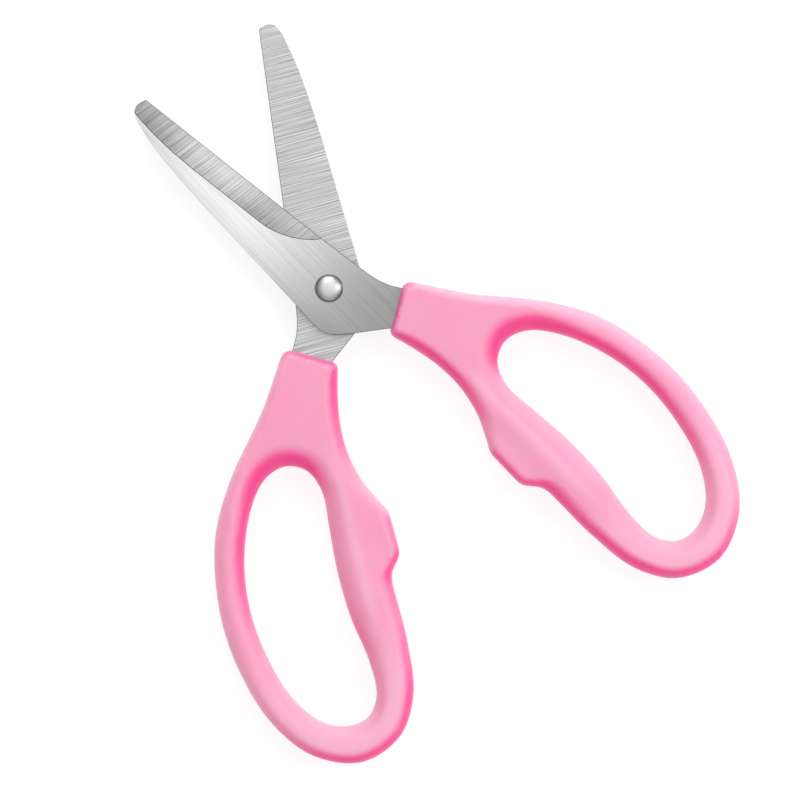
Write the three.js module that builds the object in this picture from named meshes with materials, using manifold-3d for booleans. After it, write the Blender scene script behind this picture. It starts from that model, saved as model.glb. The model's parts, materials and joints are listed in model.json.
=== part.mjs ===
// Floral snips: two stamped steel blades on one domed rivet, each with a moulded
// finger loop. The two halves are the same design, one turned over to face the other.
//
// Units are millimetres. The snips lie flat on the plane z = 0 with the blades
// pointing along +Y and the rivet's axis along Z. The origin is under the middle of
// their bounding box. Each half is drawn closed, in its own frame: the rivet's axis
// at x = 0, y = 0, the cut closing along +Y, the spine of the blade at -X, the finger
// loop at +X, and z = 0 on the plane where the two blades meet.
import * as THREE from "three";
import { mergeVertices } from "three/addons/utils/BufferGeometryUtils.js";
import Module from "manifold-3d";

const wasm = await Module();
wasm.setup();

// Driving dimensions
const HALF_OPENING = 14.5; // degrees that each half stands open from closed
const BLADE_THICKNESS = 2.0;
const BLADE_GAP = 0.1; // running gap between the two inner faces
const REAR_BLADE_EXTRA = 1.5; // the rear blade reaches this much further
const EDGE_THICKNESS = 0.35; // what the grinding leaves at the cutting edge
const GRIP_THICKNESS = 11.0;
const GRIP_CLEARANCE = 0.15; // between a tang and the plastic round it
const COLLAR_ROUNDING = 1.3; // how far the grip's edges round in, at the collar
const LOOP_ROUNDING = 3.1; // and round the finger loop
const STOP_ROUNDING = 1.5; // and at the stop on its inner side
const RIVET_HEAD_RADIUS = 3.5;
const RIVET_HEAD_HEIGHT = 1.5;
const RIVET_SHANK_RADIUS = 2.0;
const RIVET_TAIL_RADIUS = 2.9;
const RIVET_TAIL_HEIGHT = 0.9;
const RIVET_PLAY = 0.08; // radial, in the holes of both blades
const WASHER_RADIUS = 3.6;
const WASHER_THICKNESS = 0.6;
const WASHER_CHAMFER = 0.15;
const SEATING_GAP = 0.04; // between faces that seat on each other

const INNER_FACE = BLADE_GAP / 2;
const OUTER_FACE = INNER_FACE + BLADE_THICKNESS;

const STEEL = { color: 0xc9cacb, metalness: 1.0, roughness: 0.34 };
const POLISHED_STEEL = { color: 0xd2d2d0, metalness: 1.0, roughness: 0.18 };
const PINK_PLASTIC = { color: 0xf59bc1, metalness: 0.0, roughness: 0.5 };

const SAME_POINT = 0.01; // points closer than this count as one
const MERGE_DISTANCE = 1e-4;
const ROUND_SIDES = 32; // of the rivet, the washer and the hole that they fill

const point = (x, y) => new THREE.Vector2(x, y);

// Points of a smooth curve through the given ones.
function smooth(through, divisions, closed = false) {
  const knots = through.map(([x, y]) => new THREE.Vector3(x, y, 0));
  const curve = new THREE.CatmullRomCurve3(knots, closed, "centripetal");
  const points = curve.getPoints(divisions).map((p) => point(p.x, p.y));
  return closed ? points.slice(0, -1) : points;
}

// Points of a rounded corner, from one side of it to the other.
function corner(from, tip, to, divisions = 4) {
  const curve = new THREE.QuadraticBezierCurve(point(...from), point(...tip), point(...to));
  return curve.getPoints(divisions);
}

// Joins runs of points into one outline, dropping the points that two runs share.
function outline(...runs) {
  const all = runs.flat();
  return all.filter((p, i) => p.distanceTo(all[(i + 1) % all.length]) > SAME_POINT);
}

function circle(centre, radius, divisions) {
  const arc = new THREE.EllipseCurve(centre.x, centre.y, radius, radius);
  return arc.getPoints(divisions).slice(0, -1);
}

function extrude(contour, holes, bottom, depth, steps = 1) {
  const shape = new THREE.Shape(contour);
  shape.holes = holes.map((hole) => new THREE.Path(hole));
  const geometry = new THREE.ExtrudeGeometry(shape, { depth, steps, bevelEnabled: false });
  return geometry.translate(0, 0, bottom);
}

function toSolid(geometry) {
  const bare = geometry.clone();
  bare.deleteAttribute("normal");
  bare.deleteAttribute("uv");
  const merged = mergeVertices(bare, MERGE_DISTANCE);
  return new wasm.Manifold(
    new wasm.Mesh({
      numProp: 3,
      vertProperties: merged.attributes.position.array,
      triVerts: new Uint32Array(merged.index.array),
    }),
  );
}

function toMesh(name, solid, finish) {
  const { vertProperties, triVerts } = solid.getMesh();
  const geometry = new THREE.BufferGeometry();
  geometry.setAttribute("position", new THREE.BufferAttribute(vertProperties, 3));
  geometry.setIndex(new THREE.BufferAttribute(triVerts, 1));
  geometry.computeVertexNormals();
  const mesh = new THREE.Mesh(geometry, new THREE.MeshStandardMaterial(finish));
  mesh.name = name;
  return mesh;
}

// ---- Blade -------------------------------------------------------------------

// The tang runs into the grip from the middle of the collar's end, square to it.
const COLLAR_END = point(8.7, -15.6);
const COLLAR_TURN = THREE.MathUtils.degToRad(31.5);
const TANG_ENTRY = -0.8; // where the blade has narrowed to the width that goes in
const TANG_ENTRY_WIDTH = 10.5;
const TANG_SHOULDER = 4.0; // where it steps down to its buried width
const TANG_SHOULDER_RUN = 1.5; // the step starts this much sooner at the entry's width
const TANG_WIDTH = 7.4;
const TANG_LENGTH = 19.5;
const TANG_HOLES = [8.0, 14.0]; // distances into the grip
const TANG_HOLE_RADIUS = 1.8;
const TANG_HOLE_SIDES = 16;
const PEG_SIDES = 12;
// The tang's rounded end: how far back from its end, and how far in from its side.
const TANG_END_START = 2.5;
const TANG_END_MIDDLE = point(0.7, 0.9);
const TANG_END_INSET = 2.6;

// A point so far into the grip along the tang, and so far to the loop's side of it.
function onTang(along, across) {
  const [s, c] = [Math.sin(COLLAR_TURN), Math.cos(COLLAR_TURN)];
  return point(COLLAR_END.x + along * s + across * c, COLLAR_END.y - along * c + across * s);
}

// The stretch of the tang that goes into the grip, from its inner side round its
// rounded end to its outer side, grown all round by a margin.
function tangOutline(margin = 0) {
  const entry = TANG_ENTRY_WIDTH / 2 + margin;
  const half = TANG_WIDTH / 2 + margin;
  const length = TANG_LENGTH + margin;
  const innerSide = [
    [TANG_ENTRY, entry],
    [TANG_SHOULDER - TANG_SHOULDER_RUN, entry],
    [TANG_SHOULDER + margin, half],
    [length - TANG_END_START, half],
    [length - TANG_END_MIDDLE.x, half - TANG_END_MIDDLE.y],
    [length, half - TANG_END_INSET],
  ];
  const outerSide = innerSide.map(([along, across]) => onTang(along, across)).reverse();
  return [...innerSide.map(([along, across]) => onTang(along, -across)), ...outerSide];
}

function bladeOutline(extra) {
  const tip = smooth(
    [
      [0.0, 65.7 + extra],
      [-2.4, 66.2 + extra],
      [-4.2, 65.4 + extra],
      [-5.4, 62.9 + extra],
    ],
    9,
  );
  const spine = smooth(
    [
      [-5.4, 62.9 + extra],
      [-6.9, 55.5],
      [-7.9, 42],
      [-8.4, 22],
      [-8.8, 3],
      [-9.0, -3],
    ],
    15,
  );
  const shoulder = smooth(
    [
      [-9.0, -3],
      [-8.7, -6.2],
      [-7.4, -8.9],
      [-3.2, -12.5],
    ],
    9,
  );
  const throat = smooth(
    [
      onTang(TANG_ENTRY, TANG_ENTRY_WIDTH / 2).toArray(),
      [11.4, -9.9],
      [10.1, -6.6],
      [9.2, -2],
      [7.5, 8.6],
    ],
    12,
  );
  return outline(tip, spine, shoulder, tangOutline(), throat);
}

// The grinding wheel that makes the bevel. Its axis runs beside the cutting edge. Its
// rounded shoulder lifts out of the steel ahead of the rivet, and a slight crown at its
// other end narrows the bevel towards the tip.
const WHEEL_RADIUS = 70;
const WHEEL_SIDES = 480;
const WHEEL_TOP = 90; // distance ahead of the rivet, past the blade's tip
const FLAT_END = 24; // distance ahead of the rivet where the shoulder starts
const SHOULDER_RADIUS = 70;
const SHOULDER_LENGTH = 22;
const SHOULDER_STEPS = 10;
const CROWN_START = 46; // distance ahead of the rivet where the crown starts
const CROWN_RADIUS = 330;
const CROWN_STEPS = 8;
const BEVEL_WIDTH = 6.3;
const EDGE_HEEL = point(7.5, 8.6);
const EDGE_TIP = point(0.0, 65.7);

function grindingWheel() {
  const bottom = FLAT_END - SHOULDER_LENGTH;
  const profile = [point(0, bottom)];
  for (let i = SHOULDER_STEPS; i >= 0; i--) {
    const back = (i / SHOULDER_STEPS) * SHOULDER_LENGTH;
    const drop = SHOULDER_RADIUS - Math.sqrt(SHOULDER_RADIUS ** 2 - back ** 2);
    profile.push(point(WHEEL_RADIUS - drop, FLAT_END - back));
  }
  for (let i = 0; i <= CROWN_STEPS; i++) {
    const ahead = (i / CROWN_STEPS) * (WHEEL_TOP - CROWN_START);
    const drop = CROWN_RADIUS - Math.sqrt(CROWN_RADIUS ** 2 - ahead ** 2);
    profile.push(point(WHEEL_RADIUS - drop, CROWN_START + ahead));
  }
  profile.push(point(0, WHEEL_TOP));
  const wheel = new THREE.LatheGeometry(profile, WHEEL_SIDES);

  // Two points of the wheel's surface, seen end on: at the edge it leaves
  // EDGE_THICKNESS of steel, and BEVEL_WIDTH further back it leaves the outer face.
  const depth = BLADE_THICKNESS - EDGE_THICKNESS;
  const chord = Math.hypot(BEVEL_WIDTH, depth);
  const reach = Math.sqrt(WHEEL_RADIUS ** 2 - (chord / 2) ** 2);
  const across = -BEVEL_WIDTH / 2 + (depth / chord) * reach;
  const height = OUTER_FACE - depth / 2 + (BEVEL_WIDTH / chord) * reach;

  const lean = Math.atan2(EDGE_HEEL.x - EDGE_TIP.x, EDGE_TIP.y - EDGE_HEEL.y);
  wheel.translate(across, 0, height);
  wheel.rotateZ(lean);
  const root = EDGE_HEEL.y * Math.cos(lean) - EDGE_HEEL.x * Math.sin(lean);
  const foot = point(EDGE_HEEL.x + root * Math.sin(lean), EDGE_HEEL.y - root * Math.cos(lean));
  return wheel.translate(foot.x, foot.y, 0);
}

function blade(name, extra) {
  const holes = [
    circle(point(0, 0), RIVET_SHANK_RADIUS + RIVET_PLAY, ROUND_SIDES),
    ...TANG_HOLES.map((along) => circle(onTang(along, 0), TANG_HOLE_RADIUS, TANG_HOLE_SIDES)),
  ];
  const plate = extrude(bladeOutline(extra), holes, INNER_FACE, BLADE_THICKNESS);
  const ground = toSolid(plate).subtract(toSolid(grindingWheel()));
  return toMesh(name, ground, STEEL);
}

// ---- Grip --------------------------------------------------------------------

function gripOutline() {
  const collarEnd = [point(4.3, -17.8), point(12.6, -12.8)];
  const outerCorner = corner([12.6, -12.8], [14.9, -11.6], [16.5, -14.0]);
  const outerSweep = smooth(
    [
      [16.5, -14.0],
      [24.0, -25.0],
      [36.8, -40.4],
      [44.0, -53.3],
      [47.6, -71.5],
      [46.6, -87.0],
      [42.2, -101.3],
      [34.5, -111.6],
      [23.1, -116.4],
      [12.2, -112.7],
      [6.2, -103.5],
      [4.2, -90.5],
      [4.0, -76.5],
    ],
    54,
  );
  const notch = corner([4.0, -76.5], [4.1, -73.2], [2.5, -71.4]);
  const stopHeel = corner([1.4, -70.2], [0.15, -68.8], [0.15, -66.8]);
  const stopToe = corner([0.2, -59.0], [0.25, -57.0], [1.5, -55.3]);
  const innerSide = smooth(
    [
      [1.5, -55.3],
      [4.6, -48.5],
      [6.3, -40.5],
      [6.1, -32.5],
      [4.6, -25.0],
      [3.3, -20.4],
    ],
    16,
  );
  const innerCorner = corner([3.3, -20.4], [2.7, -18.7], [4.3, -17.8]);
  return outline(
    collarEnd,
    outerCorner,
    outerSweep,
    notch,
    stopHeel,
    stopToe,
    innerSide,
    innerCorner,
  );
}

const openingOutline = () =>
  smooth(
    [
      [22.2, -40.1],
      [17.3, -42.6],
      [15.0, -48.5],
      [15.6, -57.5],
      [16.5, -68.5],
      [16.3, -80.5],
      [14.7, -92.5],
      [15.2, -101.4],
      [18.7, -106.0],
      [24.2, -106.8],
      [30.2, -104.0],
      [35.7, -96.2],
      [39.0, -85.0],
      [40.1, -73.0],
      [38.3, -60.3],
      [33.3, -48.2],
      [27.9, -41.8],
    ],
    52,
    true,
  );

const COLLAR_LENGTH = 22; // distance behind the rivet where the rounding starts to grow
const LOOP_START = 46; // and where it is the loop's
const STOP_MIDDLE = point(0, -63.5);
const STOP_REACH = point(4, 13); // half the width and length of the stop
const STOP_NEAR = 0.7; // in those reaches: wholly the stop's rounding up to here
const STOP_FAR = 1.4; // and none of it past here

// How far the grip's edge rounds in near a point of its outline.
function roundingAt(p) {
  const pastCollar = THREE.MathUtils.smoothstep(-p.y, COLLAR_LENGTH, LOOP_START);
  const loop = THREE.MathUtils.lerp(COLLAR_ROUNDING, LOOP_ROUNDING, pastCollar);
  const away = p.clone().sub(STOP_MIDDLE).divide(STOP_REACH);
  const nearStop = 1 - THREE.MathUtils.smoothstep(Math.hypot(away.x, away.y), STOP_NEAR, STOP_FAR);
  return THREE.MathUtils.lerp(loop, STOP_ROUNDING, nearStop);
}

// For each point of an outline, the way into the material, keyed by its place.
function inwardWays(contour, isHole) {
  const area = THREE.ShapeUtils.area(contour);
  const turn = area > 0 === !isHole ? 1 : -1;
  return contour.map((p, i) => {
    const before = contour.at(i - 1);
    const after = contour[(i + 1) % contour.length];
    const along = after.clone().sub(before).normalize();
    return [placeKey(p.x, p.y), point(-along.y * turn, along.x * turn)];
  });
}

// A geometry holds 32-bit numbers, so a place is named as those hold it.
const placeKey = (x, y) => `${Math.fround(x)},${Math.fround(y)}`;

const ROUNDING_LAYERS = 8;

// A plate whose edges round in towards both faces: each layer of the extrusion is
// drawn in along the quarter of an oval.
function roundedPlate(contour, hole, thickness) {
  const geometry = extrude(contour, [hole], -1, 2, ROUNDING_LAYERS);
  const inward = new Map([...inwardWays(contour, false), ...inwardWays(hole, true)]);
  const position = geometry.attributes.position;
  for (let i = 0; i < position.count; i++) {
    const [x, y, level] = [position.getX(i), position.getY(i), position.getZ(i)];
    const way = inward.get(placeKey(x, y));
    const angle = (Math.abs(level) * Math.PI) / 2;
    const inset = roundingAt(point(x, y)) * (1 - Math.cos(angle));
    const z = (Math.sign(level) * Math.sin(angle) * thickness) / 2;
    position.setXYZ(i, x + way.x * inset, y + way.y * inset, z);
  }
  return geometry;
}

const POCKET_OVERCUT = 8; // how far the pocket's cut runs out past the collar

// The pocket that the tang lies in, open at the collar, with a peg through each hole.
function tangPocket() {
  const mouthHalf = TANG_ENTRY_WIDTH / 2 + GRIP_CLEARANCE;
  const mouth = [onTang(-POCKET_OVERCUT, mouthHalf), onTang(-POCKET_OVERCUT, -mouthHalf)];
  const pegs = TANG_HOLES.map((along) =>
    circle(onTang(along, 0), TANG_HOLE_RADIUS - GRIP_CLEARANCE, PEG_SIDES),
  );
  const bottom = INNER_FACE - GRIP_CLEARANCE;
  const depth = BLADE_THICKNESS + 2 * GRIP_CLEARANCE;
  return extrude([...mouth, ...tangOutline(GRIP_CLEARANCE)], pegs, bottom, depth);
}

function grip(name) {
  const moulding = toSolid(roundedPlate(gripOutline(), openingOutline(), GRIP_THICKNESS));
  return toMesh(name, moulding.subtract(toSolid(tangPocket())), PINK_PLASTIC);
}

// ---- Rivet -------------------------------------------------------------------

function lathed(profile, divisions) {
  return new THREE.LatheGeometry(profile, divisions).rotateX(Math.PI / 2);
}

const RIM_HEIGHT = 0.25; // the straight side of a head, under its dome

// Points of a dome's outline, from its rim to the axis. up is 1 or -1.
function domeProfile(radius, seat, height, up, divisions = 6) {
  const points = [];
  for (let i = 0; i <= divisions; i++) {
    const angle = (i / divisions) * (Math.PI / 2);
    const rise = RIM_HEIGHT + (height - RIM_HEIGHT) * Math.sin(angle);
    points.push(point(radius * Math.cos(angle), seat + up * rise));
  }
  return points;
}

const HEAD_SEAT = OUTER_FACE + SEATING_GAP;
const WASHER_TOP = -OUTER_FACE - SEATING_GAP;
const TAIL_SEAT = WASHER_TOP - WASHER_THICKNESS - SEATING_GAP;

function rivet() {
  const tail = domeProfile(RIVET_TAIL_RADIUS, TAIL_SEAT, RIVET_TAIL_HEIGHT, -1);
  const head = domeProfile(RIVET_HEAD_RADIUS, HEAD_SEAT, RIVET_HEAD_HEIGHT, 1);
  const profile = [
    ...tail.reverse(),
    point(RIVET_TAIL_RADIUS, TAIL_SEAT),
    point(RIVET_SHANK_RADIUS, TAIL_SEAT),
    point(RIVET_SHANK_RADIUS, HEAD_SEAT),
    point(RIVET_HEAD_RADIUS, HEAD_SEAT),
    ...head,
  ];
  return toMesh("pivot_rivet", toSolid(lathed(profile, ROUND_SIDES)), POLISHED_STEEL);
}

function washer() {
  const inner = RIVET_SHANK_RADIUS + RIVET_PLAY;
  const bottom = WASHER_TOP - WASHER_THICKNESS;
  const profile = [
    point(inner, bottom),
    point(WASHER_RADIUS - WASHER_CHAMFER, bottom),
    point(WASHER_RADIUS, bottom + WASHER_CHAMFER),
    point(WASHER_RADIUS, WASHER_TOP),
    point(inner, WASHER_TOP),
    point(inner, bottom),
  ];
  return toMesh("rivet_washer", toSolid(lathed(profile, ROUND_SIDES)), POLISHED_STEEL);
}

// ---- Assembly ----------------------------------------------------------------

function half(bladeMesh, gripMesh) {
  const opened = new THREE.Group();
  opened.add(bladeMesh, gripMesh);
  opened.rotation.z = THREE.MathUtils.degToRad(HALF_OPENING);
  return opened;
}

const frontHalf = half(blade("front_blade", 0), grip("right_handle"));

const rearHalf = new THREE.Group();
rearHalf.add(half(blade("rear_blade", REAR_BLADE_EXTRA), grip("left_handle")));
rearHalf.rotation.y = Math.PI;

const snips = new THREE.Group();
snips.add(frontHalf, rearHalf, rivet(), washer());

const box = new THREE.Box3().setFromObject(snips, true);
const middle = box.getCenter(new THREE.Vector3());
snips.position.set(-middle.x, -middle.y, -box.min.z);

export default snips;
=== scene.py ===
# Floral snips, lying flat with the rivet's head up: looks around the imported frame.
#
# Lengths are metres. Shapes that are easier to follow in millimetres are worked out in
# the half frame, where a half stands closed: the rivet's axis at x = 0, y = 0, the cut
# along +Y, the finger loop at +X, and z = 0 where the two blades meet.
import json
import math

import bmesh
import bpy
import numpy as np
from mathutils import Matrix, Vector
from mathutils.geometry import delaunay_2d_cdt


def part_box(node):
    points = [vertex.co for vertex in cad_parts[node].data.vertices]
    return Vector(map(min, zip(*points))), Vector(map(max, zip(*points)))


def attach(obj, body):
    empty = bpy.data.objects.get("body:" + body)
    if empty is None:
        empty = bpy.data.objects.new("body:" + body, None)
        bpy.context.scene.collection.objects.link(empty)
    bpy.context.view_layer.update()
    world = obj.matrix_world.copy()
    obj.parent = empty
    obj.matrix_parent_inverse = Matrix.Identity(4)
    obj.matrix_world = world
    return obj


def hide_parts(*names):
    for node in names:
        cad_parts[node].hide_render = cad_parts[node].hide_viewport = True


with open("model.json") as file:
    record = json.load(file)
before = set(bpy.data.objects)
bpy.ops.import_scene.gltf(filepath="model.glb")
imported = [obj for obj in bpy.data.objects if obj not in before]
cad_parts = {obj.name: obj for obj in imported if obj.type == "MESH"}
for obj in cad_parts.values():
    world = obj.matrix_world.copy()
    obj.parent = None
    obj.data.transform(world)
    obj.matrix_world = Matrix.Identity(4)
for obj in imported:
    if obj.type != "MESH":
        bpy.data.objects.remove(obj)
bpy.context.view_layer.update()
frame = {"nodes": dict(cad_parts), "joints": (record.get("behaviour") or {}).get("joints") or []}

MM = 0.001
X, Y, Z = range(3)
HALF_OPENING = math.radians(14.5)  # each half stands this far from closed
PIVOT = Vector(frame["joints"][0]["pos_m"])

# From a half's own frame, in millimetres, to where it lies at rest, in metres.
FRONT_HALF = Matrix.Translation(PIVOT) @ Matrix.Rotation(HALF_OPENING, 4, "Z") @ Matrix.Scale(MM, 4)
REAR_HALF = Matrix.Translation(PIVOT) @ Matrix.Rotation(-HALF_OPENING, 4, "Z") @ Matrix.Scale(MM, 4)
REAR_HALF = REAR_HALF @ Matrix.Rotation(math.pi, 4, "Y")


# ---- Camera, floor and light ---------------------------------------------------------

CAMERA_TURN = math.radians(-29.66)
CAMERA_DISTANCE = 0.9
LENS_MM = 162
SENSOR_MM = 36
UP = Vector((-math.sin(CAMERA_TURN), math.cos(CAMERA_TURN), 0))
RIGHT = Vector((math.cos(CAMERA_TURN), math.sin(CAMERA_TURN), 0))
AIM = Vector((0.0016, -0.0118, 0.0055))


def camera():
    data = bpy.data.cameras.new("camera")
    data.lens = LENS_MM
    data.sensor_width = SENSOR_MM
    ob = bpy.data.objects.new("camera", data)
    ob.location = AIM + Vector((0, 0, CAMERA_DISTANCE))
    ob.rotation_euler = (0, 0, CAMERA_TURN)
    bpy.context.scene.collection.objects.link(ob)
    bpy.context.scene.camera = ob


def softbox(name, sideways, upwards, height, size, power):
    """A rectangular lamp aimed at the snips. Its place is measured along the picture's sides."""
    data = bpy.data.lights.new(name, "AREA")
    data.shape = "RECTANGLE"
    data.size, data.size_y = size
    data.energy = power
    ob = bpy.data.objects.new(name, data)
    ob.location = AIM + RIGHT * sideways + UP * upwards + Vector((0, 0, height))
    ob.rotation_euler = (AIM - ob.location).to_track_quat("-Z", "Y").to_euler()
    bpy.context.scene.collection.objects.link(ob)


# ---- Materials -----------------------------------------------------------------------


class Nodes:
    """A material's node tree, with short ways to add and join nodes."""

    def __init__(self, name):
        self.material = bpy.data.materials.new(name)
        self.material.use_nodes = True
        self.tree = self.material.node_tree
        self.shader = self.tree.nodes["Principled BSDF"]

    def add(self, kind, **settings):
        node = self.tree.nodes.new(kind)
        for key, value in settings.items():
            setattr(node, key, value)
        return node

    def join(self, start, end):
        self.tree.links.new(start, end)

    def put(self, socket, value):
        if isinstance(value, bpy.types.NodeSocket):
            self.join(value, socket)
        else:
            socket.default_value = value

    def place(self, turn=0.0, scale=(1, 1, 1)):
        """Millimetres from the rivet's middle, in the object, turned about Z and stretched."""
        shifted = self.add("ShaderNodeVectorMath", operation="SUBTRACT")
        self.join(self.add("ShaderNodeTexCoord").outputs["Object"], shifted.inputs[0])
        shifted.inputs[1].default_value = PIVOT
        turned = self.add("ShaderNodeMapping")
        turned.inputs["Rotation"].default_value = (0, 0, turn)
        turned.inputs["Scale"].default_value = (1 / MM, 1 / MM, 1 / MM)
        self.join(shifted.outputs[0], turned.inputs["Vector"])
        stretched = self.add("ShaderNodeMapping")
        stretched.inputs["Scale"].default_value = scale
        self.join(turned.outputs["Vector"], stretched.inputs["Vector"])
        return stretched.outputs["Vector"]

    def noise(self, where, scale=1.0, detail=2.0, roughness=0.5):
        node = self.add("ShaderNodeTexNoise")
        node.inputs["Scale"].default_value = scale
        node.inputs["Detail"].default_value = detail
        node.inputs["Roughness"].default_value = roughness
        self.join(where, node.inputs["Vector"])
        return node.outputs["Fac"]

    def span(self, value, low, high, to_low, to_high, smooth=False):
        node = self.add("ShaderNodeMapRange")
        if smooth:
            node.interpolation_type = "SMOOTHSTEP"
        for socket, number in zip(node.inputs[1:5], (low, high, to_low, to_high)):
            socket.default_value = number
        self.join(value, node.inputs[0])
        return node.outputs[0]

    def maths(self, operation, a, b):
        node = self.add("ShaderNodeMath", operation=operation)
        self.put(node.inputs[0], a)
        self.put(node.inputs[1], b)
        return node.outputs[0]

    def mix(self, factor, a, b):
        # Inputs 6 and 7 and output 2 are the mix node's colour sockets.
        node = self.add("ShaderNodeMix", data_type="RGBA")
        self.put(node.inputs[0], factor)
        self.put(node.inputs[6], a)
        self.put(node.inputs[7], b)
        return node.outputs[2]

    def grey(self, value):
        node = self.add("ShaderNodeCombineColor")
        for socket in node.inputs[:3]:
            self.put(socket, value)
        return node.outputs[0]

    def bump(self, height, strength, distance):
        node = self.add("ShaderNodeBump")
        node.inputs["Strength"].default_value = strength
        node.inputs["Distance"].default_value = distance
        self.join(height, node.inputs["Height"])
        self.join(node.outputs["Normal"], self.shader.inputs["Normal"])

    def attribute(self, name):
        return self.add("ShaderNodeAttribute", attribute_name=name).outputs["Fac"]

    def worn_edges(self):
        """Rises towards 1 along convex edges. Pointiness is 0.5 on a flat surface."""
        pointiness = self.add("ShaderNodeNewGeometry").outputs["Pointiness"]
        return self.span(pointiness, 0.52, 0.6, 0, 1)


FLAT_PINK = (0.83, 0.328, 0.493, 1)
SHADE_PINK = (0.88, 0.075, 0.3, 1)
PALE_PINK = (0.86, 0.53, 0.66, 1)
CLOUDINESS = 0.12
PALE_EDGES = 0.25
PLASTIC_ROUGHNESS = (0.42, 0.52)
SCUFF_ROUGHNESS = 0.06
GRAIN_DEPTH = 0.00006


def plastic():
    """Moulded plastic with a fine sparked grain, painted a deeper pink as shade where the light leaves
    it and paler as light where it falls.
    """
    m = Nodes("moulded_pink_plastic")
    where = m.place()
    cloudy = m.noise(where, scale=0.09, detail=3)
    base = m.mix(m.span(cloudy, 0.3, 0.7, 0, CLOUDINESS), FLAT_PINK, PALE_PINK)
    # Painted light: a paler pink where the surface faces the light, on the loop's thin rods and along
    # the bar's ridge.
    base = m.mix(m.attribute("painted_light"), base, PALE_PINK)
    # Painted shade: a deeper pink where the surface leans away from the light and at the collar's end.
    base = m.mix(m.attribute("painted_shade"), base, SHADE_PINK)
    base = m.mix(m.maths("MULTIPLY", m.worn_edges(), PALE_EDGES), base, PALE_PINK)
    m.join(base, m.shader.inputs["Base Color"])
    grain = m.noise(where, scale=3.2, detail=3, roughness=0.6)
    scuffs = m.noise(m.place(turn=0.5, scale=(1, 6, 1)), scale=0.35, detail=4, roughness=0.65)
    grained = m.span(grain, 0.3, 0.7, *PLASTIC_ROUGHNESS)
    scuffed = m.span(scuffs, 0.55, 0.75, 0, SCUFF_ROUGHNESS)
    m.join(m.maths("ADD", grained, scuffed), m.shader.inputs["Roughness"])
    m.shader.inputs["Specular IOR Level"].default_value = 0.32
    m.shader.inputs["Subsurface Weight"].default_value = 0.6
    m.shader.inputs["Subsurface Radius"].default_value = (1.0, 0.15, 0.28)
    m.shader.inputs["Subsurface Scale"].default_value = 0.004
    m.bump(grain, strength=0.12, distance=GRAIN_DEPTH)
    return m.material


BEND_SCALE = (0.1, 0.2, 0.2)
FINE_SHARE = 0.65
COARSE_SHARE = 0.35
MARKS_TO_TONE = (0.38, 0.62)
MARKS_TO_ROUGHNESS = (0.35, 0.65)


def marks_along(m, turn, scale, waves):
    """Fine lines from an abrasive, drawn out by scale and bent a little by waves."""
    where = m.place(turn, scale)
    if waves:
        bend = m.noise(m.place(turn, BEND_SCALE))
        shift = m.add("ShaderNodeVectorMath", operation="ADD")
        offset = m.add("ShaderNodeCombineXYZ")
        m.join(m.maths("MULTIPLY", bend, waves), offset.inputs[1])
        m.join(where, shift.inputs[0])
        m.join(offset.outputs[0], shift.inputs[1])
        where = shift.outputs[0]
    fine = m.maths("MULTIPLY", m.noise(where, detail=3, roughness=0.65), FINE_SHARE)
    coarse = m.maths("MULTIPLY", m.noise(where, scale=0.5), COARSE_SHARE)
    return m.maths("ADD", fine, coarse)


def steel(name, turn, scale, tones, roughness, bump, shades, waves):
    """Ground steel. turn leads to the half's own frame and scale draws out the marks.
    Each of shades is a band of painted light or shade, (axis, low, high, tone at low, tone at high)
    in that frame, and bump is (strength, distance)."""
    m = Nodes(name)
    marks = marks_along(m, turn, scale, waves)
    tone = m.span(marks, *MARKS_TO_TONE, *tones)
    split = m.add("ShaderNodeSeparateXYZ")
    m.join(m.place(turn), split.inputs[0])
    for axis, low, high, start, end in shades:
        shade_there = m.span(split.outputs[axis], low, high, start, end, smooth=True)
        tone = m.maths("MULTIPLY", tone, shade_there)
    m.join(m.grey(tone), m.shader.inputs["Base Color"])
    m.shader.inputs["Metallic"].default_value = 1.0
    m.shader.inputs["Anisotropic"].default_value = 0.3
    m.join(m.span(marks, *MARKS_TO_ROUGHNESS, *roughness), m.shader.inputs["Roughness"])
    m.bump(marks, *bump)
    return m.material


FLOOR_GREYS = (0.23, 0.25)


def white_floor():
    m = Nodes("pale_floor")
    mottle = m.noise(m.place(), scale=0.01)
    m.join(m.grey(m.span(mottle, 0, 1, *FLOOR_GREYS)), m.shader.inputs["Base Color"])
    m.shader.inputs["Roughness"].default_value = 0.9
    m.shader.inputs["Specular IOR Level"].default_value = 0.1
    m.shader.inputs["Emission Color"].default_value = (1, 1, 1, 1)
    m.shader.inputs["Emission Strength"].default_value = 0.80
    return m.material


# ---- Outlines taken from the frame ---------------------------------------------------


PLACES_PER_METRE = 1e6  # points closer than one place are the same point


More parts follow.
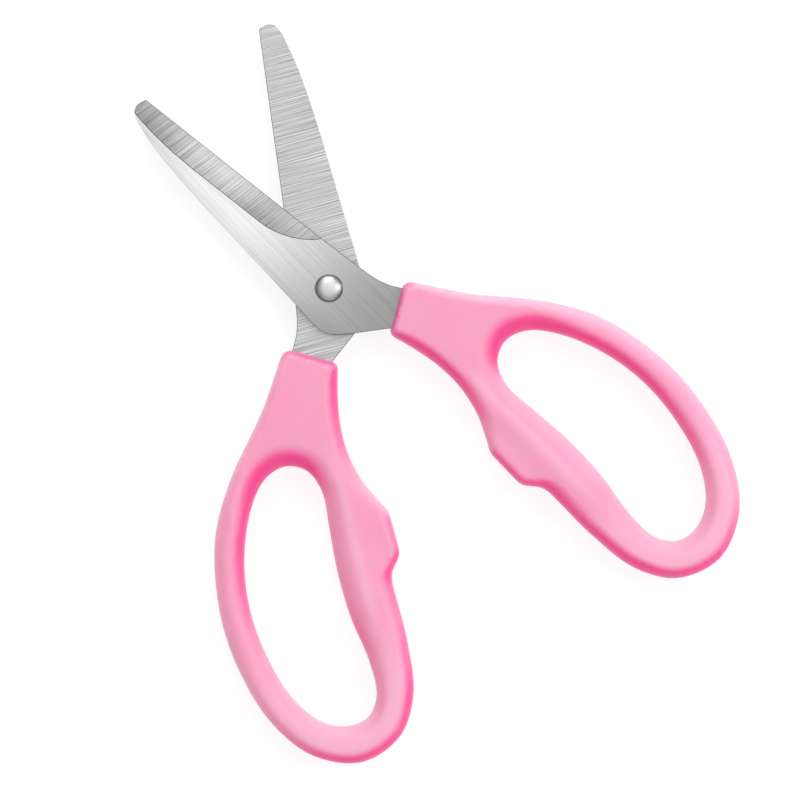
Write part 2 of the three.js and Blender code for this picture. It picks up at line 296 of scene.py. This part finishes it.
def slice_node(node, height, into):
    """The outlines of a node at a height, largest first, in the half frame."""
    mesh = node.data
    mesh.calc_loop_triangles()
    # The frame's mesh repeats a point for each face, so points are told by their place.
    points = []
    known = {}
    same = []
    for vertex in mesh.vertices:
        key = tuple(round(c * PLACES_PER_METRE) for c in vertex.co)
        if key not in known:
            known[key] = len(points)
            points.append(vertex.co)
        same.append(known[key])
    links = {}
    for triangle in mesh.loop_triangles:
        ends = []
        for a, b in ((0, 1), (1, 2), (2, 0)):
            i, j = sorted((same[triangle.vertices[a]], same[triangle.vertices[b]]))
            if (points[i].z > height) != (points[j].z > height):
                ends.append((i, j))
        if len(ends) == 2:
            links.setdefault(ends[0], []).append(ends[1])
            links.setdefault(ends[1], []).append(ends[0])

    def where(edge):
        low, high = points[edge[0]], points[edge[1]]
        return into @ low.lerp(high, (height - low.z) / (high.z - low.z))

    loops = []
    while links:
        start = next(iter(links))
        chain = [start]
        current = start
        while current in links:
            ways = links.pop(current)
            onward = [way for way in ways if way in links]
            if not onward:
                break
            current = onward[0]
            chain.append(current)
        loops.append(np.array([where(edge)[:2] for edge in chain]))
    loops.sort(key=lambda loop: -abs(area(loop)))
    return loops


def area(loop):
    after = np.roll(loop, -1, axis=0)
    return 0.5 * float(np.sum(loop[:, 0] * after[:, 1] - after[:, 0] * loop[:, 1]))


SHORTEST_STEP = 1e-3
STRAIGHT_WITHIN = 0.004


def drop_straight(loop):
    """Leaves out the points that lie on the straight line between their neighbours."""
    keep = [p for i, p in enumerate(loop) if np.linalg.norm(p - loop[i - 1]) > SHORTEST_STEP]
    i = 0
    while i < len(keep):
        before, here, after = keep[i - 1], keep[i], keep[(i + 1) % len(keep)]
        chord = after - before
        off = abs(chord[0] * (here - before)[1] - chord[1] * (here - before)[0])
        if off / max(np.linalg.norm(chord), 1e-9) < STRAIGHT_WITHIN:
            keep.pop(i)
        else:
            i += 1
    return np.array(keep)


LONGEST_CURVED_STEP = 6.0  # a longer step between points of an outline is a straight
STRAIGHT_PARTS = 4
CURVE_PARTS = 12
OUTLINE_SPACING = 0.62


def between(start, end, low, high, at):
    """The point at a place between a point that stands at low and one that stands at high."""
    return (start * (high - at) + end * (at - low)) / (high - low)


def smooth_loop(loop):
    """A closed centripetal curve through the points, at even steps."""
    through = []
    for i, p in enumerate(loop):
        after = loop[(i + 1) % len(loop)]
        parts = STRAIGHT_PARTS if np.linalg.norm(after - p) > LONGEST_CURVED_STEP else 1
        through += [p + (after - p) * k / parts for k in range(parts)]
    through = np.array(through)
    fine = []
    for i in range(len(through)):
        p = [through[(i + k) % len(through)] for k in (-1, 0, 1, 2)]
        t = [0.0]
        for a, b in zip(p, p[1:]):
            t.append(t[-1] + max(np.linalg.norm(b - a), 1e-6) ** 0.5)
        for s in np.linspace(t[1], t[2], CURVE_PARTS, endpoint=False):
            a = [between(p[k], p[k + 1], t[k], t[k + 1], s) for k in range(3)]
            b = [between(a[k], a[k + 1], t[k], t[k + 2], s) for k in range(2)]
            fine.append(between(b[0], b[1], t[1], t[2], s))
    fine = np.array(fine)
    steps = np.linalg.norm(np.roll(fine, -1, axis=0) - fine, axis=1)
    run = np.concatenate(([0], np.cumsum(steps)))
    count = int(run[-1] / OUTLINE_SPACING)
    at = np.arange(count) * run[-1] / count
    closed = np.vstack((fine, fine[:1]))
    return np.column_stack([np.interp(at, run, closed[:, k]) for k in (0, 1)])


def inward(loop, is_hole):
    """At each point, the direction square to the outline that leads into the material."""
    along = np.roll(loop, -1, axis=0) - np.roll(loop, 1, axis=0)
    along /= np.linalg.norm(along, axis=1)[:, None]
    side = 1 if (area(loop) > 0) != is_hole else -1
    return np.column_stack((-along[:, 1], along[:, 0])) * side


POINTS_AT_ONCE = 400


def distance(points, loop):
    """How far each point is from a closed outline."""
    start, end = loop, np.roll(loop, -1, axis=0)
    way = end - start
    reach = np.maximum((way**2).sum(axis=1), 1e-12)
    nearest = []
    for block in np.array_split(points, max(1, len(points) // POINTS_AT_ONCE)):
        gap = block[:, None, :] - start[None]
        t = np.clip((gap * way[None]).sum(axis=2) / reach[None], 0, 1)
        nearest.append(np.linalg.norm(gap - t[..., None] * way[None], axis=2).min(axis=1))
    return np.concatenate(nearest)


def inside(points, loop):
    x, y = points[:, 0][:, None], points[:, 1][:, None]
    x0, y0 = loop[:, 0][None], loop[:, 1][None]
    x1, y1 = np.roll(loop[:, 0], -1)[None], np.roll(loop[:, 1], -1)[None]
    rise = np.where(y1 == y0, 1e-12, y1 - y0)
    crosses = ((y0 > y) != (y1 > y)) & (x < (x1 - x0) * (y - y0) / rise + x0)
    return crosses.sum(axis=1) % 2 == 1


def ease(value, low, high):
    """Rises smoothly from 0 at low to 1 at high."""
    t = np.clip((value - low) / (high - low), 0, 1)
    return t * t * (3 - 2 * t)


# ---- Handles -------------------------------------------------------------------------

GRIP_HALF_HEIGHT = 5.5
COLLAR_END = np.array((8.7, -15.6))
COLLAR_TURN = math.radians(31.5)
INTO_COLLAR = np.array((math.sin(COLLAR_TURN), -math.cos(COLLAR_TURN)))
STOP_MIDDLE = np.array((0.0, -63.5))
STOP_REACH = np.array((6, 13))
RIDGE_X = 10.0  # a soft ridge runs down the inner bar here
BAR_DIP = 0.12

# How wide the roundings are, in millimetres, and how much each place adds.
COLLAR_RADIUS = 1.4
NECK_EXTRA = 0.8
LOOP_EXTRA = 1.3
INNER_SIDE_EXTRA = 1.2
STOP_RADIUS = 1.9
OPENING_SIDE_RADIUS = 3.6
OPENING_BAR_EXTRA = 2.2
CROTCH_RADIUS = 6.2


def outer_radius(p):
    """How far the outer edge takes to round over, in millimetres."""
    back = -p[:, 1]
    neck = ease(back, 19, 30)
    loop = ease(back, 34, 52)
    inner_side = (1 - ease(p[:, 0], 7, 11)) * ease(back, 17, 24) * (1 - ease(back, 38, 52))
    radius = COLLAR_RADIUS + NECK_EXTRA * neck + LOOP_EXTRA * loop + INNER_SIDE_EXTRA * inner_side
    from_stop = np.hypot(*((p - STOP_MIDDLE) / STOP_REACH).T)
    near_stop = 1 - ease(from_stop, 0.7, 1.5)
    return radius * (1 - near_stop) + STOP_RADIUS * near_stop


def opening_radius(p):
    """The same for the edge of the finger opening."""
    crotch = ease(p[:, 1], -54, -42)
    bar = (1 - ease(p[:, 0], 19, 27)) * ease(p[:, 1], -104, -88)
    side = OPENING_SIDE_RADIUS + OPENING_BAR_EXTRA * bar
    return side * (1 - crotch) + CROTCH_RADIUS * crotch


def rounded(t):
    """A quarter circle's height, from 0 at its foot to 1 at its top."""
    t = np.clip(t, 0, 1)
    return np.sqrt(np.maximum(0, 1 - (1 - t) ** 2))


def grip_height(p, outer, opening):
    """Height of the grip's surface over its middle plane."""
    over = rounded(distance(p, outer) / outer_radius(p))
    over = over * rounded(distance(p, opening) / opening_radius(p))
    # The thumb side of the inner bar is pressed slightly lower than its ridge.
    on_bar = ease(-p[:, 1], 44, 56) * (1 - ease(-p[:, 1], 78, 92))
    dip = on_bar * (1 - ease(p[:, 0], 4.0, RIDGE_X)) * BAR_DIP
    return GRIP_HALF_HEIGHT * over * (1 - dip)


RING_STEPS = 10
PARTING_RISE = 0.05
PARTING_TURN = math.radians(2.2)
RING_REACH = math.radians(62)


def rings(loop, is_hole, radius_at):
    """The outline drawn in step by step. The first ring is the mould's parting line,
    which stands a little proud."""
    way = inward(loop, is_hole)
    radius = radius_at(loop)[:, None]
    turns = [PARTING_TURN] + [RING_REACH * k / (RING_STEPS - 2) for k in range(1, RING_STEPS - 1)]
    drawn_in = [loop + way * radius * (1 - math.cos(turn)) for turn in turns]
    return [loop - way * PARTING_RISE] + drawn_in


LATTICE_SPACING = 0.85
ROW_SPACING = LATTICE_SPACING * 0.866  # the height of a triangle with even sides
RIM_CLEARANCE = 0.5
SAME_POINT = 1e-5


def grip_mesh(outer, opening):
    """Vertices and faces of the moulding in the half frame, closed and symmetrical."""
    outer_rings = rings(outer, False, outer_radius)
    opening_rings = rings(opening, True, opening_radius)
    low, high = outer.min(axis=0), outer.max(axis=0)
    rows = int((high[1] - low[1]) / ROW_SPACING)
    columns = int((high[0] - low[0]) / LATTICE_SPACING)
    lattice = np.array(
        [
            (low[0] + (c + 0.5 * (r % 2)) * LATTICE_SPACING, low[1] + r * LATTICE_SPACING * 0.866)
            for r in range(rows)
            for c in range(columns)
        ]
    )
    rim, hole = outer_rings[-1], opening_rings[-1]
    keep = inside(lattice, rim) & ~inside(lattice, hole)
    lattice = lattice[keep]
    from_edge = np.minimum(distance(lattice, rim), distance(lattice, hole))
    lattice = lattice[from_edge > RIM_CLEARANCE]

    flat = np.vstack((rim, hole, lattice))
    edges = [(i, (i + 1) % len(rim)) for i in range(len(rim))]
    edges += [(len(rim) + i, len(rim) + (i + 1) % len(hole)) for i in range(len(hole))]
    result = delaunay_2d_cdt([Vector(p) for p in flat], edges, [], 0, SAME_POINT)
    assert len(result[0]) == len(flat)
    order = [source[0] for source in result[3]]
    triangles = [tuple(order[i] for i in face) for face in result[2]]
    middles = np.array([flat[list(face)].mean(axis=0) for face in triangles])
    within = inside(middles, rim) & ~inside(middles, hole)
    triangles = [face for face, good in zip(triangles, within) if good]

    plan = np.vstack(outer_rings[:-1] + opening_rings[:-1] + [flat])
    height = grip_height(plan, outer, opening)
    first = {"outer": 0, "opening": len(outer) * (RING_STEPS - 1)}
    base = first["opening"] + len(opening) * (RING_STEPS - 1)
    on_rim = set(range(len(outer))) | set(range(first["opening"], first["opening"] + len(opening)))
    for i in on_rim:
        height[i] = 0

    faces = [tuple(base + i for i in face) for face in triangles]
    for name, loop, last in (("outer", outer, base), ("opening", opening, base + len(rim))):
        count = len(loop)
        starts = [first[name] + k * count for k in range(RING_STEPS - 1)] + [last]
        for a, b in zip(starts, starts[1:]):
            for i in range(count):
                after = (i + 1) % count
                faces.append((a + i, a + after, b + after, b + i))
    top = np.column_stack((plan, height))
    below = {}
    verts = [tuple(v) for v in top]
    for i, v in enumerate(verts[:]):
        if i in on_rim:
            below[i] = i
        else:
            below[i] = len(verts)
            verts.append((v[0], v[1], -v[2]))
    faces += [tuple(below[i] for i in reversed(face)) for face in faces]
    return verts, faces


def link(ob):
    bpy.context.scene.collection.objects.link(ob)
    return ob


def mesh_object(name, verts, faces):
    mesh = bpy.data.meshes.new(name)
    mesh.from_pydata(verts, [], faces)
    bm = bmesh.new()
    bm.from_mesh(mesh)
    bmesh.ops.recalc_face_normals(bm, faces=bm.faces)
    bm.to_mesh(mesh)
    bm.free()
    return link(bpy.data.objects.new(name, mesh))


# One side of the tang's slot: how far into the collar, and how far from its middle line.
SLOT_SIDE = [(-8, 5.37), (2.55, 5.37), (4.1, 3.82), (17.0, 3.82), (19.6, 1.2)]
SLOT_LOW = -0.07
SLOT_HIGH = 2.17
SHORTEST_GRIP_EDGE = 0.002


def tang_slot():
    """The solid that the tang's slot takes out of the grip, in the half frame."""
    across = np.array((math.cos(COLLAR_TURN), math.sin(COLLAR_TURN)))
    plan = [COLLAR_END + INTO_COLLAR * a + across * b for a, b in SLOT_SIDE]
    plan += [COLLAR_END + INTO_COLLAR * a - across * b for a, b in reversed(SLOT_SIDE)]
    count = len(plan)
    verts = [(*p, SLOT_LOW) for p in plan] + [(*p, SLOT_HIGH) for p in plan]
    faces = [tuple(range(count)), tuple(range(count, 2 * count))]
    faces += [(i, (i + 1) % count, count + (i + 1) % count, count + i) for i in range(count)]
    return mesh_object("slot", verts, faces)


def with_slot(ob, cutter):
    """Cuts the slot out of the grip, and joins up the tiny edges that the cut leaves."""
    modifier = ob.modifiers.new("slot", "BOOLEAN")
    modifier.operation = "DIFFERENCE"
    modifier.solver = "EXACT"
    modifier.object = cutter
    bpy.context.view_layer.update()
    cut = bpy.data.meshes.new_from_object(ob.evaluated_get(bpy.context.evaluated_depsgraph_get()))
    ob.modifiers.clear()
    ob.data = cut
    bm = bmesh.new()
    bm.from_mesh(cut)
    bmesh.ops.dissolve_degenerate(bm, dist=SHORTEST_GRIP_EDGE, edges=bm.edges)
    bm.to_mesh(cut)
    bm.free()


GRIP_CORNER = math.radians(38)
TURNED_CORNER = math.radians(35)


def shade(mesh, angle):
    """Smooth all over, but for the edges that turn by more than the angle."""
    for polygon in mesh.polygons:
        polygon.use_smooth = True
    mesh.set_sharp_from_angle(angle=angle)


# How much each thing counts towards the painted shade, and how strong the collar's painted shade and
# each painted light are.
SIDEWAYS_SHADE = 0.35
OPENING_SHADE = 0.42
INNER_SIDE_SHADE = 0.45
COLLAR_PAINTED_SHADE = 0.7
LIT_HIGHLIGHT = 0.55
ROD_PAINTED_LIGHT = 0.5
RIDGE_HIGHLIGHT = 0.4
RIDGE_WIDTH = 1.6
RIDGE_TINT_X = 0.6  # the ridge catches the light a little outside its line


def paint_light_and_shade(mesh, into_half, outer, opening):
    """Paints light and shade into two point attributes: painted shade where each point's surface leans
    to the shaded side and at the collar's end, and painted light where it leans to the lit side, on the
    thin round rods of the loop, which let more light through, and along the bar's ridge."""
    painted_shade = mesh.attributes.new("painted_shade", "FLOAT", "POINT")
    painted_light = mesh.attributes.new("painted_light", "FLOAT", "POINT")
    co = np.array([into_half @ v.co for v in mesh.vertices])
    normal = np.array([v.normal for v in mesh.vertices])
    plan = co[:, :2]
    faces_opening = ease(distance(plan, outer) - distance(plan, opening), -0.5, 1.0)
    steep = np.sqrt(np.maximum(0, 1 - normal[:, 2] ** 2))
    inner_side = (1 - faces_opening) * (1 - ease(co[:, 0], 7, 13)) * steep
    # Painted shade: how far each surface leans away from the light, more on the sides of the opening
    # and on the grip's inner side.
    down = normal @ np.array(-UP) + SIDEWAYS_SHADE * (normal @ np.array(RIGHT))
    down = down + OPENING_SHADE * faces_opening * steep + INNER_SIDE_SHADE * inner_side
    # The painted shade fades down the sides, so that no line of colour shows from beside the snips.
    height = np.array([v.co.z for v in mesh.vertices]) / MM
    fade = ease(height, -1, 8.5) * (0.78 + 0.22 * ease(normal[:, 2], 0, 0.4))
    shaded = ease(down, 0.12, 0.8) * fade
    # Painted highlight on slopes that face the light.
    lit = LIT_HIGHLIGHT * ease(normal @ np.array(UP), 0.1, 0.75)
    # Painted light on the tops of the loop's thin rods.
    rod = ROD_PAINTED_LIGHT * ease(-co[:, 1], 78, 104) * ease(normal[:, 2], 0.75, 1.0)
    # Painted shade: the collar's end is moulded tight round the steel, and is painted its deepest pink
    # there, as shade along the join.
    from_end = (plan - COLLAR_END) @ INTO_COLLAR
    collar = COLLAR_PAINTED_SHADE * ease(steep, 0.3, 0.9) * (1 - ease(from_end, 0.3, 4.0))
    collar = collar * ease(height, 1, 10)
    # Painted highlight along the bar's ridge.
    from_ridge = (co[:, 0] - RIDGE_X - RIDGE_TINT_X) / RIDGE_WIDTH
    ridge = RIDGE_HIGHLIGHT * np.exp(-(from_ridge**2)) * ease(normal[:, 2], 0.9, 1.0)
    ridge = ridge * ease(-co[:, 1], 36, 46) * (1 - ease(-co[:, 1], 74, 92))
    light = np.maximum.reduce([lit, rod, ridge])
    painted_shade.data.foreach_set("value", np.maximum(shaded, collar).astype(np.float32))
    painted_light.data.foreach_set("value", (light * (1 - collar)).astype(np.float32))


SLICE_BELOW_PIVOT = 0.3 * MM


def handles(material):
    """Both grips are one moulding, turned over for the left. It is shaped from the right
    handle's outline."""
    into_half = FRONT_HALF.inverted()
    loops = slice_node(frame["nodes"]["right_handle"], PIVOT.z - SLICE_BELOW_PIVOT, into_half)
    outer = smooth_loop(drop_straight(loops[0]))
    opening = smooth_loop(drop_straight(loops[1]))
    verts, faces = grip_mesh(outer, opening)
    cutter = tang_slot()
    for name, node, body, place in (
        ("right_grip", "right_handle", "front_half", FRONT_HALF),
        ("left_grip", "left_handle", "rear_half", REAR_HALF),
    ):
        ob = mesh_object(name, verts, faces)
        with_slot(ob, cutter)
        ob.data.transform(place)
        ob.data.update()
        shade(ob.data, GRIP_CORNER)
        paint_light_and_shade(ob.data, place.inverted(), outer, opening)
        ob.data.materials.clear()
        ob.data.materials.append(material)
        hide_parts(node)
        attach(ob, body)
    bpy.data.objects.remove(cutter)


# ---- Blades --------------------------------------------------------------------------

EDGE_BREAK = 0.13 * MM  # the sheared edges are broken this much
PAINTED_LINE_WIDTH = 0.1 * MM  # to each side of the line where the grinding stops
SHORTEST_EDGE = 0.03 * MM
WELD_DISTANCE = 0.000002
SAME_PLANE = math.radians(0.25)
SHEARED_CORNER = math.radians(40)
HARD_CORNER = math.radians(25)
SPINE_LEAN = 0.2
SATIN_LEAN = 0.25
FLAT = math.cos(math.radians(0.6))
STEEPEST_BEVEL = math.cos(math.radians(30))
OUTER, BEVEL, INNER, EDGE, SPINE, LINE = range(6)


def is_spine(face, spineward):
    return face.normal.dot(spineward) > SPINE_LEAN


def surface_of(face, outward, spineward):
    """Which of the ground surfaces a face of the unbroken blade belongs to."""
    lean = face.normal.dot(outward)
    if lean > FLAT:
        return OUTER
    if lean > STEEPEST_BEVEL:
        return BEVEL
    if lean < -FLAT:
        return INNER
    return SPINE if is_spine(face, spineward) else EDGE


def blade(name, node, body, place, materials):
    """A copy of the blade with broken edges, and a material for each ground surface."""
    mesh = frame["nodes"][node].data.copy()
    if "custom_normal" in mesh.attributes:
        mesh.attributes.remove(mesh.attributes["custom_normal"])
    mesh.materials.clear()
    for material in materials:
        mesh.materials.append(material)
    ob = link(bpy.data.objects.new(name, mesh))
    bm = bmesh.new()
    bm.from_mesh(mesh)
    bmesh.ops.remove_doubles(bm, verts=bm.verts, dist=WELD_DISTANCE)
    bmesh.ops.dissolve_limit(bm, angle_limit=SAME_PLANE, verts=bm.verts, edges=bm.edges)
    bmesh.ops.dissolve_degenerate(bm, dist=SHORTEST_EDGE, edges=bm.edges)
    outward = (place.to_3x3() @ Vector((0, 0, 1))).normalized()
    spineward = (place.to_3x3() @ Vector((-1, 0, 0))).normalized()
    for face in bm.faces:
        face.material_index = surface_of(face, outward, spineward)
    sharp = [e for e in bm.edges if e.is_manifold and e.calc_face_angle(0) > SHEARED_CORNER]
    how = {"affect": "EDGES", "clamp_overlap": False}
    broken = bmesh.ops.bevel(bm, geom=sharp, offset=EDGE_BREAK, segments=2, profile=0.6, **how)
    # The broken edges are painted near black as a dark outline, all but the spine's.
    for face in broken["faces"]:
        face.normal_update()
        face.material_index = SPINE if is_spine(face, spineward) else LINE
    # A thin strip along the bevel's line is painted near black, a painted dark line.
    line = [e for e in bm.edges if {f.material_index for f in e.link_faces} == {OUTER, BEVEL}]
    painted_line_strip = bmesh.ops.bevel(bm, geom=line, offset=PAINTED_LINE_WIDTH, segments=1, profile=0.5, **how)
    for face in painted_line_strip["faces"]:
        face.material_index = LINE
    for face in bm.faces:
        # The satin finish runs over the spine's broken edge.
        if face.material_index == SPINE and face.normal.dot(outward) > SATIN_LEAN:
            face.material_index = OUTER
        face.smooth = face.material_index not in (OUTER, INNER)
    for edge in bm.edges:
        kinds = {face.material_index for face in edge.link_faces}
        turned = edge.is_manifold and edge.calc_face_angle(0) > HARD_CORNER
        edge.smooth = len(kinds) == 1 and not turned
    bm.to_mesh(mesh)
    bm.free()
    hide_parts(node)
    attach(ob, body)


BEVEL_MARKS_SLANT = math.radians(6)


def blades():
    """up is 1 where a blade's outer face looks up and -1 where it looks down."""
    for name, node, body, place, turn, up in (
        ("front_blade_steel", "front_blade", "front_half", FRONT_HALF, -HALF_OPENING, 1),
        ("rear_blade_steel", "rear_blade", "rear_half", REAR_HALF, HALF_OPENING, -1),
    ):
        across = turn + BEVEL_MARKS_SLANT * up
        # Painted shade: the satin face is painted darker towards the tang and towards the tip, and a
        # little darker towards its spine.
        satin = [
            (Y, -16, 30, 0.40, 0.95),
            (Y, 36, 62, 1.0, 0.86),
            (X, -8.5 * up, -4.5 * up, 0.9, 1.0),
        ]
        # Painted light and shade: the bevel is painted bright along its edge and darker along its line,
        # at the heel and at the tip, and the line is painted dark.
        ground = [
            (Z, 0.7 * up, 2.0 * up, 1.08, 0.76),
            (Z, 2.015 * up, 2.045 * up, 1.0, 0.5),
            (Y, 20, 38, 0.60, 0.95),
            (Y, 40, 62, 1.0, 0.74),
        ]
        # Painted shade: the spine is painted dark where it runs into the collar.
        spine = [(Y, -1, 5, 0.3, 1.0)]
        # Each row is a surface, in the order of OUTER to LINE: its name, the turn and the
        # scale of its marks, its tones, roughness, bump and shades, and how its marks wave.
        rows = (
            ("satin", turn, (4.5, 0.04, 1), (0.80, 0.96), (0.32, 0.40), (0.04, 2e-5), satin, 0.0),
            ("bevel", across, (0.05, 7.0, 0.08), (0.29, 0.72), (0.34, 0.46), (0.10, 3e-5), ground, 0.9),
            ("ground", turn, (0.035, 6.0, 1), (0.30, 0.80), (0.34, 0.46), (0.10, 4e-5), (), 2.5),
            # The edge, spine and line rows are lit and shaded copies of one steel: the sheared edges
            # are a duller steel painted darker, the spine is painted lighter, and the line is painted
            # near black as a dark outline.
            ("edge", turn, (1.5, 1.5, 0.6), (0.26, 0.34), (0.40, 0.5), (0.1, 3e-5), (), 0.0),
            ("spine", turn, (0.8, 0.8, 0.3), (0.52, 0.60), (0.40, 0.48), (0.05, 2e-5), spine, 0.0),
            ("line", turn, (1.5, 1.5, 0.6), (0.07, 0.12), (0.40, 0.5), (0.1, 3e-5), (), 0.0),
        )
        materials = [steel(f"{name}_{surface}", *how) for surface, *how in rows]
        blade(name, node, body, place, materials)


# ---- Rivet ---------------------------------------------------------------------------


TURNED_STEPS = 96

# The rivet and the washer, in millimetres. Heights are from the pivot's middle plane.
HEAD_SEAT = 2.09
RIM_RISE = 0.25
RIM_ROUNDING = 0.12
GROOVE_INSET = 0.14
SHANK_RADIUS = 2.0
TAIL_SEAT = -2.69
TAIL_RADIUS = 2.9
WASHER_BORE = 2.06
WASHER_ROUNDING = 0.14


def lathe(name, profile, centre):
    """Turns a profile of (radius, height) in millimetres, which starts and ends on the axis."""
    steps = TURNED_STEPS
    verts = []
    faces = []
    rows = profile[1:-1]
    verts.append((0, 0, profile[0][1]))
    for radius, height in rows:
        for i in range(steps):
            angle = 2 * math.pi * i / steps
            verts.append((radius * math.cos(angle), radius * math.sin(angle), height))
    verts.append((0, 0, profile[-1][1]))
    for i in range(steps):
        after = (i + 1) % steps
        faces.append((0, 1 + i, 1 + after))
        top = 1 + (len(rows) - 1) * steps
        faces.append((len(verts) - 1, top + after, top + i))
        for k in range(len(rows) - 1):
            a, b = 1 + k * steps, 1 + (k + 1) * steps
            faces.append((a + i, a + after, b + after, b + i))
    ob = mesh_object(name, verts, faces)
    ob.data.transform(Matrix.Translation(centre) @ Matrix.Scale(MM, 4))
    return ob


def arc(centre, radii, start, end, steps):
    """Points along part of an ellipse, between two angles in degrees."""
    points = []
    for k in range(steps + 1):
        angle = math.radians(start + (end - start) * k / steps)
        across, up = radii[0] * math.cos(angle), radii[1] * math.sin(angle)
        points.append((centre[0] + across, centre[1] + up))
    return points


def rivet(material):
    low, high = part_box("pivot_rivet")
    radius = (high[0] - low[0]) / 2 / MM
    top = (high[2] - PIVOT.z) / MM
    bottom = (low[2] - PIVOT.z) / MM
    rim = HEAD_SEAT + RIM_RISE
    # A thin rolled rim, a fine groove inside it, and the dome.
    head = [(SHANK_RADIUS, HEAD_SEAT)]
    roll = (radius - RIM_ROUNDING, HEAD_SEAT + RIM_ROUNDING)
    head += arc(roll, (RIM_ROUNDING, RIM_ROUNDING), -90, 75, 5)
    head += arc((0, rim), (radius - GROOVE_INSET, top - rim), 4, 89.5, 22)
    tail = arc((0, TAIL_SEAT), (TAIL_RADIUS, bottom - TAIL_SEAT), 88, 3, 12)
    tail = [(0, bottom)] + tail + [(TAIL_RADIUS, TAIL_SEAT), (SHANK_RADIUS, TAIL_SEAT)]
    profile = tail + head + [(0, top)]
    ob = lathe("domed_rivet", profile, PIVOT)
    shade(ob.data, TURNED_CORNER)
    ob.data.materials.append(material)
    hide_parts("pivot_rivet")
    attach(ob, "rear_half")


def polished():
    m = Nodes("polished_rivet")
    where = m.place()
    marks = m.noise(where, scale=2.5, detail=4, roughness=0.65)
    tone = m.span(marks, 0.3, 0.7, 0.66, 0.74)
    # Painted shade: the dome is painted darker from its crown towards its rim.
    from_axis = m.add("ShaderNodeVectorMath", operation="LENGTH")
    m.join(m.place(0, (1, 1, 0)), from_axis.inputs[0])
    painted_rim_shade = m.span(from_axis.outputs["Value"], 1.5, 3.5, 1.0, 0.30, smooth=True)
    tone = m.maths("MULTIPLY", tone, painted_rim_shade)
    worn = m.maths("MULTIPLY", m.worn_edges(), 0.06)
    m.join(m.grey(m.maths("ADD", tone, worn)), m.shader.inputs["Base Color"])
    m.shader.inputs["Metallic"].default_value = 1.0
    m.join(m.span(marks, 0.3, 0.7, 0.35, 0.41), m.shader.inputs["Roughness"])
    m.bump(marks, strength=0.03, distance=0.00002)
    return m.material


def washer(material):
    """A turned ring with a small rounding on each of its four edges."""
    low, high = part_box("rivet_washer")
    outside = (high[0] - low[0]) / 2 / MM
    bottom, top = ((z - PIVOT.z) / MM for z in (low[2], high[2]))
    cut = WASHER_ROUNDING
    section = []
    for corner, start in (
        ((outside - cut, bottom + cut), -90),
        ((outside - cut, top - cut), 0),
        ((WASHER_BORE + cut, top - cut), 90),
        ((WASHER_BORE + cut, bottom + cut), 180),
    ):
        section += arc(corner, (cut, cut), start, start + 90, 4)
    steps = TURNED_STEPS
    count = len(section)
    verts = []
    faces = []
    for i in range(steps):
        angle = 2 * math.pi * i / steps
        verts += [(r * math.cos(angle), r * math.sin(angle), z) for r, z in section]
        a, b = i * count, (i + 1) % steps * count
        for k in range(count):
            after = (k + 1) % count
            faces.append((a + k, b + k, b + after, a + after))
    ob = mesh_object("burr_washer", verts, faces)
    ob.data.transform(Matrix.Translation(PIVOT) @ Matrix.Scale(MM, 4))
    shade(ob.data, TURNED_CORNER)
    ob.data.materials.append(material)
    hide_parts("rivet_washer")
    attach(ob, "rear_half")


# ---- Studio --------------------------------------------------------------------------

FLOOR_HALF_WIDTH = 3.0
TENT_DIM = 0.55
TENT_BRIGHT = 0.66
TENT_TILT = (UP * 0.25 + RIGHT * 0.55 + Vector((0, 0, 1))).normalized()


def tent():
    """A white light tent, brightest overhead to one side and dim near the floor."""
    world = bpy.data.worlds.new("light_tent")
    world.use_nodes = True
    tree = world.node_tree
    facing = tree.nodes.new("ShaderNodeVectorMath")
    facing.operation = "DOT_PRODUCT"
    facing.inputs[1].default_value = TENT_TILT
    rise = tree.nodes.new("ShaderNodeMapRange")
    for socket, number in zip(rise.inputs[1:5], (0.0, 0.9, TENT_DIM, TENT_BRIGHT)):
        socket.default_value = number
    tree.links.new(tree.nodes.new("ShaderNodeTexCoord").outputs["Generated"], facing.inputs[0])
    tree.links.new(facing.outputs["Value"], rise.inputs[0])
    background = tree.nodes["Background"]
    background.inputs["Color"].default_value = (1, 1, 1, 1)
    tree.links.new(rise.outputs[0], background.inputs["Strength"])
    return world


def studio():
    camera()
    mesh = bpy.data.meshes.new("floor")
    half = FLOOR_HALF_WIDTH
    corners = [(-half, -half, 0), (half, -half, 0), (half, half, 0), (-half, half, 0)]
    mesh.from_pydata(corners, [], [(0, 1, 2, 3)])
    mesh.materials.append(white_floor())
    link(bpy.data.objects.new("floor", mesh))
    softbox("key", -0.1, 0.95, 0.8, (0.9, 0.6), 6.5)
    softbox("side", 0.9, 0.15, 0.75, (0.35, 0.9), 4.4)
    softbox("fill", 0.0, -0.95, 0.55, (1.2, 0.5), 1.3)
    softbox("overhead", -0.1, 0.2, 1.5, (1.1, 1.1), 1.5)
    bpy.context.scene.world = tent()
    bpy.context.scene.view_settings.view_transform = "Standard"


studio()
handles(plastic())
blades()
steel_for_rivet = polished()
rivet(steel_for_rivet)
washer(steel_for_rivet)
